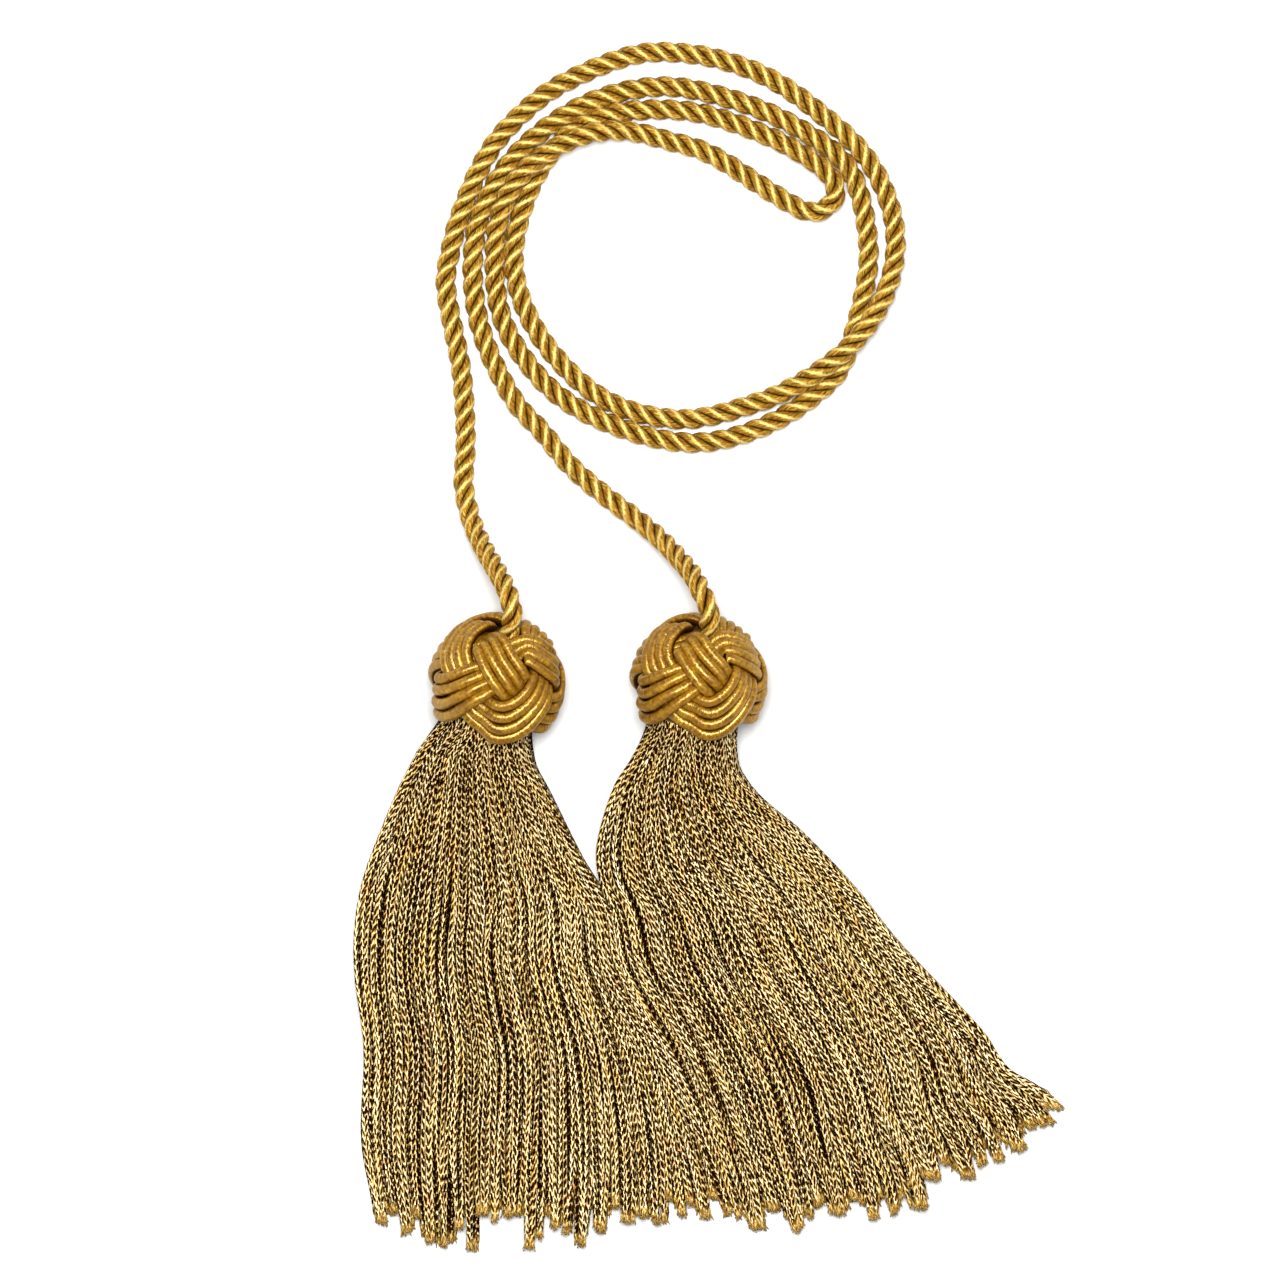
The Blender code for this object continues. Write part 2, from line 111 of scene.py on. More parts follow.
# Skirt
NECK_PLANE = 12.3  # from the head's middle down its pole
NECK_HALF_WIDTH = 12.9
NECK_HALF_HEIGHT = 11.6
ROOT_SPREAD = 0.95  # share of the neck's width over which the roots stand
ROOT_RISE = 1.07  # share of its height at which the top layer's roots stand
ROOT_PLACES = (-3.0, 1.0)  # of a root's two points, from the neck's plane down the pole
LEAST_CHORD = 0.1  # square of the neck's height at its sides, as a share of its middle
SIDE_THICKNESS = 0.38  # of the skirt, at its sides, as a share of its middle
SKIRT_SEEDS = {"left": 31, "right": 32}
EDGE_POINTS = 400  # along each side of a skirt and its hem
YARN_WIDTH = 1.50
YARN_PITCH = 1.62  # between the yarns that lie on top
YARN_START = 0.06  # share of the skirt's length at which a yarn lies free of the neck
YARN_POINTS = 28  # along its line from there
YARN_APART = 211.0  # between the stitch counts at which successive yarns start
YARN_DRIFT = 0.75  # slow wandering from side to side
YARN_WAVER = 0.16  # quick wandering from side to side
YARN_SETTLE = 0.35  # most that a yarn lies lower than its layer
YARN_BILLOW = 0.22  # wandering up and down
YARN_SINK = 0.85  # of a yarn that is crowded out of the top, in yarn widths
GATHER_FROM = 0.86  # share of the skirt's length from which a tuft closes up
MOST_LONGER = 12.0  # that a yarn reaches beyond the hem's line to its tuft's tips
DROOP = 0.12  # of that reach, to the surface
GOLDEN_SHARE = 0.618034  # spreads the ranks of neighbouring yarns evenly
STITCH = 2.7  # length of one stitch of the chain
WALES = 4  # columns of stitches round a yarn
STITCH_LEAN = 0.8  # of an eyelet, in columns over the length of a stitch
EYELET_DEPTH = 0.22  # share of the radius by which the yarn sinks in there
TOP_STEP = 0.85  # between rings of a yarn that shows
TOP_SIDES = 7
TIP_LENGTH = 3.0  # of the frayed end, where the gold core shows
TIP_HAIRS = 9
HAIR_RADIUS = 0.22
HAIR_APART = 17.0  # between the places at which successive hairs' textures start
EDGE_INSET = 0.65  # of the lowest layer's outermost yarns, which are the widest
EDGE_YARNS = 2  # at each side, which are lit from beside and so less dark beneath
# Painted shade beneath the edge yarns, as a share of the other yarns'
EDGE_UNDERSIDE_SHADE = 0.2

# Colour of the highlights
CORD_SHEEN = (255, 228, 140)
GIMP_SHEEN = (255, 232, 152)
YARN_SHEEN = (255, 244, 214)

# Height of the spread skirt at stations along its length, 0 at the neck and 1 at the hem.
#           along, height
SKIRT_STATIONS = (
    (0.07, 22.5),
    (0.18, 17.0),
    (0.34, 12.8),
    (0.53, 10.2),
    (0.76, 8.2),
    (1.00, 6.6),
)
# How much the yarns shade one another where they crowd, from root to tip.
#           along, shade
SHUT_IN = (
    (0.00, 0.24),
    (0.18, 0.20),
    (0.45, 0.00),
    (1.00, -0.06),
)
# Layers from the top down: spacing of the yarns along the hem, depth below the skirt's
# surface as a share of its thickness, a yarn's width, the spacing and sides of its rings,
# how far a tuft's yarns close up at the hem as a share of the way to its middle, and how
# much shorter than the tuft they may be.
#     name,  spacing, depth, width,    step,     sides,    pull, shorter
SKIRT_LAYERS = (
    ("top", 1.46, 0.00, YARN_WIDTH, TOP_STEP, TOP_SIDES, 0.50, 1.2),
    ("middle", 1.70, 0.42, 1.70, 1.30, 6, 0.30, 6.0),
    ("under", 1.62, 0.84, 2.60, 2.40, 6, 0.00, 9.0),
)
# The yarns leave the neck crowded towards the skirt's right side and spread to even
# spacing at the hem: the crowding at stations along the skirt.
#           along, left skirt, right skirt
CROWDING = (
    (0.00, 1.55, 1.30),
    (0.22, 1.75, 1.60),
    (0.45, 1.62, 1.75),
    (0.75, 1.30, 1.45),
    (1.00, 1.00, 1.00),
)

# Heads: middle, the pole where the cord leaves, the knot's turn about it and the angle
# from it to the lower bights, in degrees.
#    side,     x,    y,    pole,                  turn,  lower bights
HEADS = (
    ("left", -63.9, 75.3, (0.204, 0.883, 0.423), -32.0, 102.5),
    ("right", -3.6, 75.3, (0.110, 0.899, 0.423), -31.0, 98.5),
)

# The line along which the two skirts meet on the surface.
SKIRTS_MEET = (
    (-29.4, 6.0), (-27.0, -8.4), (-20.1, -21.9), (-12.3, -35.4),
    (-6.0, -49.8), (0.0, -63.9), (7.3, -84.5),
)
# Outlines of the skirts as they lie, and their hems' tufts: middle, half width, tips' y.
LEFT_SKIRT = {
    "left": (
        (-82.2, 63.6), (-92.6, 45.0), (-99.5, 29.4), (-104.9, 14.1), (-107.2, -0.3),
        (-107.1, -14.4), (-104.6, -33.9), (-105.1, -60.3), (-101.6, -85.2),
    ),
    "right": ((-57.0, 57.3), (-49.1, 42.9), (-38.8, 22.2)) + SKIRTS_MEET,
    "hem": (
        (-101.6, -85.2), (-82.2, -90.2), (-64.2, -88.2), (-48.0, -90.2), (-33.0, -87.9),
        (-18.0, -85.8), (-6.0, -84.0), (7.3, -84.5),
    ),
    "tufts": (
        (-98.0, 2.3, -87.6), (-94.4, 1.4, -84.9), (-91.4, 1.6, -90.9), (-88.2, 1.6, -85.5),
        (-84.6, 1.9, -93.3), (-80.1, 2.4, -94.2), (-74.7, 1.5, -89.7), (-71.6, 1.7, -95.4),
        (-68.1, 1.8, -85.2), (-64.8, 1.5, -87.3), (-59.4, 3.9, -85.2), (-54.0, 1.5, -95.1),
        (-51.3, 1.2, -92.4), (-49.2, 0.9, -84.6), (-46.2, 2.1, -89.1), (-42.6, 1.5, -90.6),
        (-38.4, 2.4, -94.2), (-33.0, 2.4, -90.0), (-28.5, 1.5, -82.5), (-24.9, 2.1, -87.3),
        (-20.4, 2.4, -85.2), (-15.6, 2.4, -87.6), (-12.0, 0.9, -80.4), (-8.7, 1.8, -85.8),
        (-5.7, 1.2, -82.2), (-1.8, 2.7, -86.1), (2.4, 1.2, -79.2), (6.0, 1.8, -85.0),
    ),
}
RIGHT_SKIRT = {
    "left": (
        (-17.4, 63.6), (-23.4, 51.6), (-28.2, 44.1), (-33.9, 24.6), (-33.0, 14.7),
    ) + SKIRTS_MEET,
    "right": (
        (4.2, 57.6), (12.9, 42.3), (27.6, 29.4), (43.4, 12.9), (55.9, -2.7),
        (71.4, -19.2), (83.1, -32.1), (88.8, -40.8), (100.5, -47.7), (107.4, -52.5),
    ),
    "hem": (
        (7.3, -84.5), (16.8, -88.3), (27.0, -88.2), (45.0, -85.5), (58.5, -84.0),
        (66.6, -78.9), (69.0, -71.4), (82.5, -70.8), (96.0, -63.3), (107.4, -52.5),
    ),
    "tufts": (
        (8.1, 1.6, -86.4), (14.1, 3.6, -89.4), (20.1, 1.8, -82.5), (26.1, 3.0, -89.7),
        (30.6, 1.5, -86.1), (33.9, 1.2, -80.4), (39.0, 4.0, -84.9), (44.4, 0.9, -80.7),
        (49.2, 2.4, -86.1), (52.5, 0.9, -79.2), (55.8, 2.1, -84.6), (58.8, 0.9, -79.8),
        (63.0, 3.0, -82.8), (67.2, 1.2, -74.4), (71.4, 1.8, -69.9), (77.1, 3.0, -74.1),
        (82.5, 2.4, -70.2), (87.0, 2.4, -68.7), (93.0, 3.6, -65.4), (98.4, 1.2, -59.4),
        (101.4, 2.1, -58.2), (105.6, 1.8, -53.4),
    ),
}

# The cord's middle line, from the left head round the hank and back to the right head.
ROUTE = (
    # out of the left head and down to the surface
    (-59.6, 91.6, 28.3), (-59.0, 93.8, 29.4), (-59.2, 97.6, 30.2), (-60.6, 102.2, 28.2),
    (-63.0, 107.0, 23.2), (-65.9, 111.8, 16.8), (-68.9, 117.2, 10.4), (-72.0, 124.8, 5.2),
    (-74.0, 134.5, 3.1),
    # up the outside on the left, over the top and down the outside on the right
    (-73.4, 146.0, 3.0), (-74.5, 167.0, 3.0), (-79.4, 195.0, 3.0), (-78.2, 203.8, 3.0),
    (-74.3, 217.5, 3.0), (-65.2, 236.2, 3.0), (-51.0, 250.6, 3.0), (-38.7, 257.7, 3.0),
    (-20.7, 263.9, 3.0), (-2.4, 263.3, 3.0), (16.6, 257.2, 3.0), (33.6, 245.7, 3.0),
    (47.0, 232.7, 3.0), (54.3, 217.8, 3.1), (55.8, 204.9, 4.0),
    # over the other half at the lower right
    (53.7, 194.4, 6.0), (49.2, 184.8, 8.5), (42.6, 176.4, 9.6), (34.8, 169.8, 8.9),
    (25.2, 163.8, 5.9), (14.1, 159.0, 3.5),
    # round the inside of the lower loop
    (-9.0, 154.0, 3.0), (-32.3, 160.4, 3.0), (-51.7, 180.0, 3.0), (-58.9, 200.5, 3.0),
    (-54.3, 222.6, 3.0), (-44.4, 237.9, 3.0), (-36.0, 243.3, 3.0), (-25.8, 246.4, 3.0),
    (-4.8, 246.3, 3.0), (16.5, 239.5, 3.3),
    # the folded bight, half on the neighbouring run
    (25.5, 234.9, 4.8), (32.4, 230.4, 6.4), (36.3, 226.5, 7.0), (37.8, 222.6, 6.4),
    (36.6, 219.0, 5.4), (33.3, 216.6, 4.5), (29.4, 216.4, 3.8), (25.5, 218.1, 3.2),
    (19.8, 221.4, 3.0), (-1.2, 234.3, 3.0), (-12.3, 237.6, 3.2),
    # over the first half at the upper left
    (-23.7, 240.3, 5.2), (-35.1, 239.7, 8.4), (-46.2, 235.2, 9.6), (-56.4, 227.4, 8.7),
    (-62.4, 217.2, 6.6), (-64.6, 205.8, 3.7),
    # round the outside of the lower loop and up the right
    (-62.2, 183.7, 3.0), (-47.0, 162.4, 3.0), (-23.7, 150.3, 3.0), (-2.4, 147.0, 3.0),
    (18.0, 152.7, 3.0), (33.9, 163.2, 3.0), (39.0, 168.9, 3.0), (44.7, 185.1, 3.0),
    (47.7, 203.4, 3.0), (44.7, 222.6, 3.0), (39.9, 231.8, 3.0), (24.0, 243.0, 3.0),
    (5.8, 250.4, 3.0), (-14.7, 254.0, 3.0), (-37.2, 248.8, 3.0), (-57.4, 234.3, 3.0),
    (-68.2, 217.3, 3.0), (-71.2, 203.0, 3.0), (-69.1, 182.0, 3.0), (-58.5, 159.2, 3.0),
    # down to the right head
    (-50.7, 150.6, 3.0), (-41.7, 139.8, 3.0), (-31.2, 130.8, 3.1), (-21.8, 123.8, 5.8),
    (-14.8, 117.8, 10.8), (-9.4, 112.0, 17.2), (-5.2, 106.8, 24.2), (-2.8, 102.0, 29.0),
    (-0.9, 97.8, 30.6), (-0.3, 94.1, 29.5), (-0.4, 91.9, 28.3),
)


# ---- Lines

def unit(vectors):
    """The vectors' directions, each of length 1."""
    return vectors / np.linalg.norm(vectors, axis=-1, keepdims=True)


def lengths_along(line):
    """Distance of each point from the line's first, along the line."""
    return np.concatenate([[0], np.cumsum(np.linalg.norm(np.diff(line, axis=0), axis=1))])


def smooth_curve(points, steps):
    """A centripetal Catmull-Rom curve through the points, steps to a span."""
    given = np.array(points, float)
    ends = np.vstack([2 * given[0] - given[1], given, 2 * given[-1] - given[-2]])
    curve = []
    for p0, p1, p2, p3 in zip(ends, ends[1:], ends[2:], ends[3:]):
        t1 = math.sqrt(np.linalg.norm(p1 - p0))
        t2 = t1 + math.sqrt(np.linalg.norm(p2 - p1))
        t3 = t2 + math.sqrt(np.linalg.norm(p3 - p2))
        t = (t1 + (t2 - t1) * np.arange(steps) / steps)[:, None]
        a1 = p0 + (p1 - p0) * (t / t1)
        a2 = p1 + (p2 - p1) * ((t - t1) / (t2 - t1))
        a3 = p2 + (p3 - p2) * ((t - t2) / (t3 - t2))
        b1 = a1 + (a2 - a1) * (t / t2)
        b2 = a2 + (a3 - a2) * ((t - t1) / (t3 - t1))
        curve.append(b1 + (b2 - b1) * ((t - t1) / (t2 - t1)))
    return np.vstack(curve + [given[-1:]])


def even_points(line, step):
    """Points at even distances of about step along the line."""
    along = lengths_along(line)
    at = np.linspace(0, along[-1], max(3, round(along[-1] / step) + 1))
    return np.stack([np.interp(at, along, line[:, k]) for k in range(3)], axis=1)


def carried_frames(line):
    """Directions along the line and two across it, carried along without twist."""
    along = unit(np.gradient(line, axis=0))
    first = np.cross(along[0], UP)
    across = [first / np.linalg.norm(first)]
    for direction in along[1:]:
        side = across[-1] - direction * (across[-1] @ direction)
        across.append(side / np.linalg.norm(side))
    across = np.array(across)
    return along, across, np.cross(along, across)


def wander(rng, count, waves=4):
    """A smooth curve of random waves, within about 1 of 0, at count places."""
    x = np.linspace(0, 1, count)
    total = np.zeros(count)
    for wave in range(1, waves + 1):
        total += rng.normal() * np.sin(2 * math.pi * (wave * x * 0.7 + rng.random())) / wave
    return total / 1.6


# ---- Meshes

def tube(line, radii, across, up, sides, u, turned=0.0):
    """A tube of rings: radii is one per ring or one per ring and side; u is one per ring."""
    angle = 2 * math.pi * np.arange(sides) / sides
    radii = np.broadcast_to(np.asarray(radii, float).reshape(len(line), -1), (len(line), sides))
    ring = (
        across[:, None] * np.cos(angle)[None, :, None] + up[:, None] * np.sin(angle)[None, :, None]
    )
    points = line[:, None] + ring * radii[:, :, None]
    turned = np.broadcast_to(turned, (len(line),))
    return {"points": points, "u": np.asarray(u, float), "turned": turned, "closed": False}


def faces_of(rings):
    """Points, four-sided faces, end faces and the faces' UVs of a tube."""
    count, sides, _ = rings["points"].shape
    i = np.arange(count if rings["closed"] else count - 1)[:, None]
    j = np.arange(sides)[None, :]
    after = (i + 1) % count
    beside = (j + 1) % sides
    quads = np.stack(
        [i * sides + j, i * sides + beside, after * sides + beside, after * sides + j], axis=-1
    )
    u0 = np.broadcast_to(rings["u"][i], quads.shape[:2])
    gap = rings["u"][1] - rings["u"][0]
    u1 = np.broadcast_to(rings["u"][i] + gap if rings["closed"] else rings["u"][i + 1], u0.shape)
    v0 = j / sides + rings["turned"][i]
    v1 = (j + 1) / sides + rings["turned"][i]
    w0 = j / sides + rings["turned"][after]
    w1 = (j + 1) / sides + rings["turned"][after]
    corners = ((u0, v0), (u0, v1), (u1, w1), (u1, w0))
    uvs = np.stack([np.stack(corner, axis=-1) for corner in corners], axis=2)
    ends = []
    if not rings["closed"]:
        ends = [np.arange(sides)[::-1], (count - 1) * sides + np.arange(sides)]
    return rings["points"].reshape(-1, 3), quads.reshape(-1, 4), ends, uvs.reshape(-1, 4, 2)


def build_piece(name, tubes, material, node):
    """One object from many tubes, in metres in the frame, riding on the body."""
    points, loops, starts, uvs = [], [], [], []
    shades = {"tip": [], "painted_shade": []}
    first = 0
    corner = 0
    for rings in tubes:
        own, quads, ends, corners = faces_of(rings)
        points.append(own)
        shape = rings["points"].shape[:2]
        for key, values in shades.items():
            values.append(np.broadcast_to(rings.get(key, 0.0), shape).reshape(-1))
        loops.append((quads + first).reshape(-1))
        starts.append(corner + 4 * np.arange(len(quads)))
        uvs.append(corners.reshape(-1, 2))
        corner += 4 * len(quads)
        for end, at in zip(ends, (0, -1)):
            loops.append(end + first)
            starts.append(np.array([corner]))
            uvs.append(np.tile([rings["u"][at], 0.5], (len(end), 1)))
            corner += len(end)
        first += len(own)
    points = (np.concatenate(points) - TABLE_ORIGIN) * MM
    points[:, 2] = np.maximum(points[:, 2], LEAST_HEIGHT)
    loops = np.concatenate(loops).astype(np.int32)
    mesh = bpy.data.meshes.new(name)
    mesh.vertices.add(len(points))
    mesh.vertices.foreach_set("co", points.reshape(-1).astype(np.float32))
    mesh.loops.add(len(loops))
    mesh.loops.foreach_set("vertex_index", loops)
    starts = np.concatenate(starts).astype(np.int32)
    mesh.polygons.add(len(starts))
    mesh.polygons.foreach_set("loop_start", starts)
    mesh.update(calc_edges=True)
    layer = mesh.uv_layers.new(name="UVMap")
    layer.data.foreach_set("uv", np.concatenate(uvs).reshape(-1).astype(np.float32))
    for key, values in shades.items():
        shade = mesh.attributes.new(key, "FLOAT", "POINT")
        shade.data.foreach_set("value", np.concatenate(values).astype(np.float32))
    mesh.validate()
    mesh.shade_smooth()
    mesh.materials.append(material)
    piece = bpy.data.objects.new(name, mesh)
    bpy.context.scene.collection.objects.link(piece)
    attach(piece, "root")
    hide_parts(node)
    return piece


# ---- Materials

class Shader:
    """A Principled material whose nodes are added by short calls."""

    def __init__(self, name):
        self.material = bpy.data.materials.new(name)
        self.material.use_nodes = True
        self.tree = self.material.node_tree
        self.principled = self.tree.nodes["Principled BSDF"]

    def link(self, source, target):
        self.tree.links.new(source, target)

    def node(self, kind, **settings):
        """A new node of that kind, with its settings."""
        made = self.tree.nodes.new(kind)
        for key, value in settings.items():
            setattr(made, key, value)
        return made

    def put(self, socket, value):
        """Link the value to the socket if it is another socket, or else set it there."""
        if isinstance(value, bpy.types.NodeSocket):
            self.link(value, socket)
        else:
            socket.default_value = value

    def math(self, operation, *values, clamp=False):
        """The result of one operation on numbers or sockets."""
        made = self.node("ShaderNodeMath", operation=operation, use_clamp=clamp)
        for socket, value in zip(made.inputs, values):
            self.put(socket, value)
        return made.outputs[0]

    def uv(self):
        """Distance along a strand, and the share of a turn round it."""
        made = self.node("ShaderNodeUVMap", uv_map="UVMap")
        split = self.node("ShaderNodeSeparateXYZ")
        self.link(made.outputs[0], split.inputs[0])
        return split.outputs[0], split.outputs[1]

    def vector(self, x, y, z=0.0):
        made = self.node("ShaderNodeCombineXYZ")
        for socket, value in zip(made.inputs, (x, y, z)):
            self.put(socket, value)
        return made.outputs[0]

    def noise(self, vector, scale, detail=2.0, distortion=0.0):
        made = self.node("ShaderNodeTexNoise")
        self.link(vector, made.inputs["Vector"])
        made.inputs["Scale"].default_value = scale
        made.inputs["Detail"].default_value = detail
        made.inputs["Distortion"].default_value = distortion
        return made.outputs[0]

    def random(self, vector):
        """A number from 0 to 1 that is the same wherever the vector is the same."""
        made = self.node("ShaderNodeTexWhiteNoise", noise_dimensions="3D")
        self.link(vector, made.inputs["Vector"])
        return made.outputs["Value"]

    def ramp(self, value, stops):
        """A colour from the stops, which are places from 0 to 1 and display colours."""
        made = self.node("ShaderNodeValToRGB")
        marks = made.color_ramp.elements
        while len(marks) < len(stops):
            marks.new(0.5)
        for mark, (place, colour) in zip(marks, stops):
            mark.position = place
            mark.color = linear(colour)
        self.link(value, made.inputs[0])
        return made.outputs[0]

    def mix(self, share, a, b, blend="MIX"):
        made = self.node("ShaderNodeMix", data_type="RGBA", blend_type=blend)
        self.put(made.inputs[0], share)
        self.put(made.inputs[6], a)
        self.put(made.inputs[7], b)
        return made.outputs[2]

    def bump(self, height, strength, distance):
        """Fine relief of the surface, as deep as the distance in millimetres."""
        made = self.node("ShaderNodeBump")
        made.inputs["Strength"].default_value = strength
        made.inputs["Distance"].default_value = distance * MM
        self.link(height, made.inputs["Height"])
        self.link(made.outputs[0], self.principled.inputs["Normal"])

    def attribute(self, name):
        """A number that the mesh carries at its points."""
        return self.node("ShaderNodeAttribute", attribute_name=name).outputs["Fac"]


def linear(colour):
    """Scene-linear red, green, blue and alpha of a display colour given as 0 to 255."""
    parts = [c / 255 for c in colour]
    return [c / 12.92 if c <= 0.04045 else ((c + 0.055) / 1.055) ** 2.4 for c in parts] + [1.0]


def set_satin(shader, roughness, metallic, specular, sheen):
    """Gloss of the thread, with highlights of the sheen's colour."""
    inputs = shader.principled.inputs
    inputs["Roughness"].default_value = roughness
    inputs["Metallic"].default_value = metallic
    shader.put(inputs["Specular IOR Level"], specular)
    inputs["Specular Tint"].default_value = linear(sheen)


def stretch_gloss(shader, amount):
    """Highlights drawn out along the strand, as threads wound round it do."""
    tangent = shader.node("ShaderNodeTangent", direction_type="UV_MAP", uv_map="UVMap")
    shader.link(tangent.outputs[0], shader.principled.inputs["Tangent"])
    shader.principled.inputs["Anisotropic"].default_value = amount


def cord_satin():
    """Rayon plies: filaments along the cord, a painted highlight in a bright ragged line along each
    ply's ridge, and painted shade in the grooves.
    """
    shader = Shader("cord_satin")
    u, v = shader.uv()
    slant = shader.math("MULTIPLY_ADD", u, 0.09, v)
    round_it = shader.math("MULTIPLY", slant, 2 * math.pi)
    around = shader.math("COSINE", round_it), shader.math("SINE", round_it)
    streaks = shader.noise(shader.vector(shader.math("MULTIPLY", u, 0.12), *around), 4.6, 3.0, 0.2)
    patches = shader.noise(shader.vector(shader.math("MULTIPLY", u, 0.30), *around), 1.1)
    ragged = shader.noise(shader.vector(shader.math("MULTIPLY", u, 2.6), *around), 1.0)

    # Distance round the ply from its ridge line, in turns, and the two bands it sets: a painted
    # highlight along the ridge and painted shade in the grooves.
    aside = shader.math("SUBTRACT", shader.math("FRACT", shader.math("ADD", v, 0.5)), 0.5)
    shaken = shader.math("MULTIPLY_ADD", ragged, 0.16, shader.math("SUBTRACT", aside, 0.08))
    from_crest = shader.math("ABSOLUTE", shaken)
    crest_highlight = shader.math("MULTIPLY_ADD", from_crest, -17.0, 1.25, clamp=True)
    groove_shade = shader.math("MULTIPLY_ADD", shader.math("ABSOLUTE", aside), 13.0, -2.5, clamp=True)

    body = shader.ramp(streaks, (
        (0.32, (58, 28, 2)),
        (0.44, (118, 82, 12)),
        (0.56, (162, 124, 34)),
        (0.70, (214, 182, 88)),
    ))
    body = shader.mix(
        shader.math("MULTIPLY_ADD", patches, 1.6, -0.62, clamp=True), body, linear((156, 88, 24))
    )
    # Painted highlight along each ply's ridge.
    body = shader.mix(shader.math("MULTIPLY", crest_highlight, 0.90), body, linear((226, 200, 116)))
    # Painted shade in the grooves between the plies.
    colour = shader.mix(groove_shade, body, linear((38, 14, 2)))
    shader.link(colour, shader.principled.inputs["Base Color"])
    shader.bump(streaks, strength=0.9, distance=0.22)
    set_satin(shader, roughness=0.42, metallic=0.30, specular=0.6, sheen=CORD_SHEEN)
    stretch_gloss(shader, 0.7)
    return shader.material


def gimp_satin():
    """Gimp: a core wound closely with shiny thread, so that fine ribs run round it."""
    shader = Shader("gimp_satin")
    u, v = shader.uv()
    round_it = shader.math("MULTIPLY", v, 2 * math.pi)
    around = shader.math("COSINE", round_it), shader.math("SINE", round_it)
    threads = shader.noise(shader.vector(shader.math("MULTIPLY", u, 1.7), *around), 1.0, 4.0, 0.2)
    lumps = shader.noise(shader.vector(u, *around), 0.9)
    patches = shader.noise(shader.vector(shader.math("MULTIPLY", u, 0.25), *around), 0.9)
    tone = shader.math("MULTIPLY_ADD", patches, 0.30, shader.math("MULTIPLY", threads, 0.70))
    colour = shader.ramp(tone, (
        (0.32, (76, 36, 1)),
        (0.46, (122, 79, 3)),
        (0.58, (151, 106, 8)),
        (0.76, (190, 150, 38)),
    ))
    rusty = shader.math("MULTIPLY_ADD", lumps, 2.0, -1.05, clamp=True)
    colour = shader.mix(shader.math("MULTIPLY", rusty, 0.6), colour, linear((150, 82, 20)))
    # Painted shade on the strands' sides and inner sides, in the creases between them.
    colour = shader.mix(shader.attribute("painted_shade"), colour, linear((44, 18, 2)))
    shader.link(colour, shader.principled.inputs["Base Color"])
    ribs = shader.math("MULTIPLY_ADD", lumps, 0.6, threads)
    shader.bump(ribs, strength=0.9, distance=0.30)
    specular = shader.math("MULTIPLY_ADD", shader.attribute("painted_shade"), -1.2, 0.8, clamp=True)
    set_satin(shader, roughness=0.37, metallic=0.20, specular=specular, sheen=GIMP_SHEEN)
    shader.principled.inputs["IOR"].default_value = 1.9
    stretch_gloss(shader, 0.6)
    return shader.material


def ball_cloth():
    """The dark stuff of the ball that shows between the strands."""
    shader = Shader("ball_cloth")
    place = shader.node("ShaderNodeTexCoord").outputs["Object"]
    grain = shader.noise(place, 900.0)
    colour = shader.ramp(grain, ((0.3, (70, 38, 6)), (0.7, (104, 66, 14))))
    shader.link(colour, shader.principled.inputs["Base Color"])
    shader.bump(grain, strength=0.4, distance=0.2)
    set_satin(shader, roughness=0.7, metallic=0.0, specular=0.3, sheen=CORD_SHEEN)
    return shader.material


